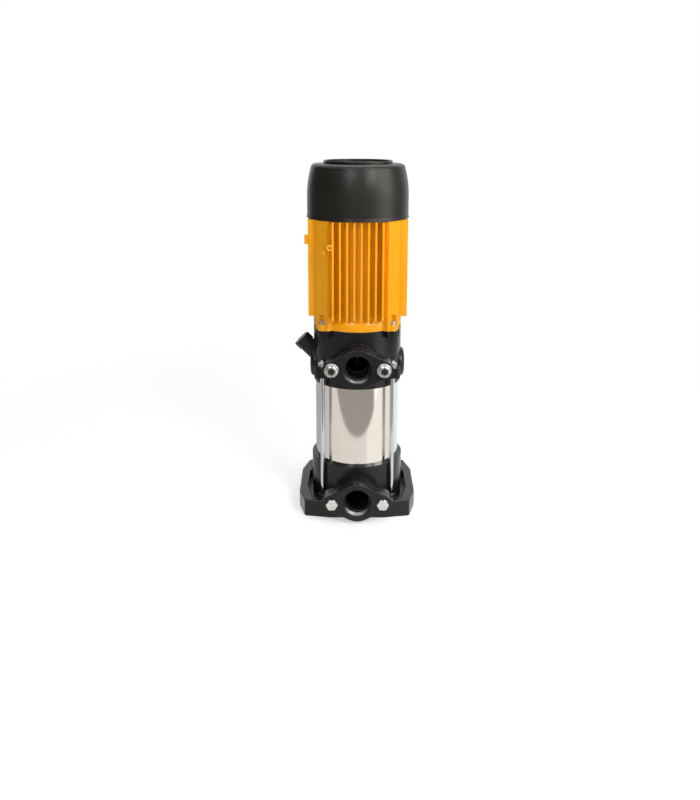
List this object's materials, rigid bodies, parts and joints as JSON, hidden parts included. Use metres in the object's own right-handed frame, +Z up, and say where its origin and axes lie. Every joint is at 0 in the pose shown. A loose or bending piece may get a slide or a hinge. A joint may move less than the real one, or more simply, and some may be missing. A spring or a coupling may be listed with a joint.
{
  "type": "vertical multistage centrifugal pump",
  "caption": "Vertical multistage pump: finned electric motor over a black cast head, steel sleeve with tie rods, cast base and two flanged threaded ports in line.",
  "frame": {"origin": "on the shaft axis, in the plane of the underside of the base, at the centre of the four base bolt holes", "axes": "+Z up along the shaft, -Y out of both ports, -X towards the priming plug"},
  "size_m": [0.2158, 0.2645, 0.6182],
  "materials": {
    "casting_black": "gloss black paint over cast iron",
    "motor_paint": "orange-yellow paint over die-cast aluminium",
    "aluminium": "as cast",
    "cover_plastic": "satin black",
    "stainless": "polished",
    "zinc_steel": "bright zinc",
    "rubber": "matte",
    "ceramic": "lapped ceramic",
    "carbon": "lapped carbon",
    "bearing_steel": "ground",
    "laminations": "stacked sheet",
    "copper": "varnished wire",
    "brass": "turned",
    "plug_black": "satin black",
    "fan_plastic": "satin black",
    "box_plastic": "satin black"
  },
  "bodies": {
    "pump": {"cable_gland": "fan_plastic", "cover_screws": "zinc_steel", "discharge_bolts": "zinc_steel", "discharge_flange": "casting_black", "discharge_gasket": "rubber", "discharge_head": "casting_black", "discharge_washers": "zinc_steel", "fan_cover": "cover_plastic", "lid_screws": "zinc_steel", "lower_bearing_outer": "bearing_steel", "motor_housing": "motor_paint", "motor_screws": "zinc_steel", "outer_sleeve": "stainless", "pump_base": "casting_black", "seal_seat": "ceramic", "shield_screws": "zinc_steel", "sleeve_seal_lower": "rubber", "sleeve_seal_upper": "rubber", "stage_casing_1": "stainless", "stage_casing_2": "stainless", "stage_casing_3": "stainless", "stage_casing_4": "stainless", "stator_core": "laminations", "stator_windings": "copper", "suction_bolts": "zinc_steel", "suction_flange": "casting_black", "suction_gasket": "rubber", "terminal_block": "fan_plastic", "terminal_box": "box_plastic", "terminal_lid": "box_plastic", "terminal_plate": "box_plastic", "terminal_seal": "rubber", "terminal_studs": "brass", "tie_rod_nuts": "zinc_steel", "tie_rod_washers": "zinc_steel", "tie_rods": "zinc_steel", "upper_bearing_outer": "bearing_steel", "upper_end_shield": "aluminium"},
    "rotor": {"rotor_shaft": "stainless", "impeller_1": "stainless", "impeller_2": "stainless", "impeller_3": "stainless", "impeller_4": "stainless", "impeller_nut": "stainless", "impeller_spacer": "stainless", "seal_ring": "carbon", "seal_bellows": "rubber", "lower_bearing_inner": "bearing_steel", "upper_bearing_inner": "bearing_steel", "rotor_core": "laminations", "cooling_fan": "fan_plastic", "fan_clip": "zinc_steel"},
    "priming_seal": {"priming_seal": "rubber"},
    "priming_plug": {"priming_plug": "plug_black"},
    "drain_seal": {"drain_seal": "rubber"},
    "drain_plug": {"drain_plug": "brass"}
  },
  "joints": [
    {"name": "rotor_spin", "type": "hinge", "parent": "pump", "child": "rotor", "pos_m": [0, 0, 0.3], "axis": [0, 0, 1], "continuous": true},
    {"name": "priming_travel", "type": "slide", "parent": "pump", "child": "priming_seal", "axis": [-0.7071, 0, 0.7071], "range_m": [0, 0.013]},
    {"name": "priming_turn", "type": "hinge", "parent": "priming_seal", "child": "priming_plug", "pos_m": [-0.08951, 0, 0.29201], "axis": [-0.7071, 0, 0.7071], "range_deg": [0, 2580]},
    {"name": "drain_travel", "type": "slide", "parent": "pump", "child": "drain_seal", "axis": [0, 1, 0], "range_m": [0, 0.012]},
    {"name": "drain_turn", "type": "hinge", "parent": "drain_seal", "child": "drain_plug", "pos_m": [0, 0.089, 0.048], "axis": [0, 1, 0], "range_deg": [0, 3232]}
  ],
  "couplings": [
    {"joint": "priming_turn", "follows": "priming_travel", "rad_per_m": 3463.7},
    {"joint": "drain_turn", "follows": "drain_travel", "rad_per_m": 4699.5}
  ]
}
